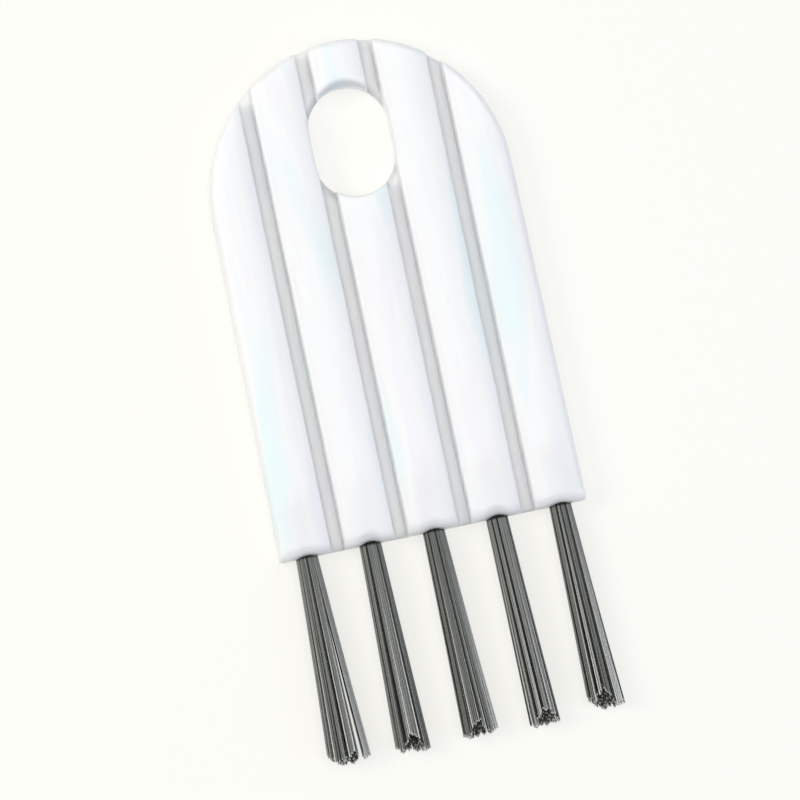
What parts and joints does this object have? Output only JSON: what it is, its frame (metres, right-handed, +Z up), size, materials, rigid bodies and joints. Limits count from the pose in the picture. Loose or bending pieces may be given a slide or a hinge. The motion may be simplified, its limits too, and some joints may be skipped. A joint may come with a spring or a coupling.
{
  "type": "crevice brush",
  "caption": "Flat ribbed plastic crevice brush: a round-topped plate with a hanging hole and a row of slim stiff bristle tufts along its straight end.",
  "frame": {"origin": "on the surface that the brush lies on, under the middle of the whole brush", "axes": "+Z up out of the ribbed front, +Y along the ribs from the bristle tips to the hanging hole, +X across the ribs"},
  "size_m": [0.0434, 0.1, 0.0052],
  "materials": {
    "plate": "satin moulded white polypropylene",
    "bristles": "dark grey nylon filament",
    "anchor_wire": "flat drawn steel wire"
  },
  "bodies": {
    "root": {"handle": "plate", "tuft_1": "bristles", "tuft_2": "bristles", "tuft_3": "bristles", "tuft_4": "bristles", "tuft_5": "bristles", "anchor_1": "anchor_wire", "anchor_2": "anchor_wire", "anchor_3": "anchor_wire", "anchor_4": "anchor_wire", "anchor_5": "anchor_wire"}
  },
  "joints": []
}
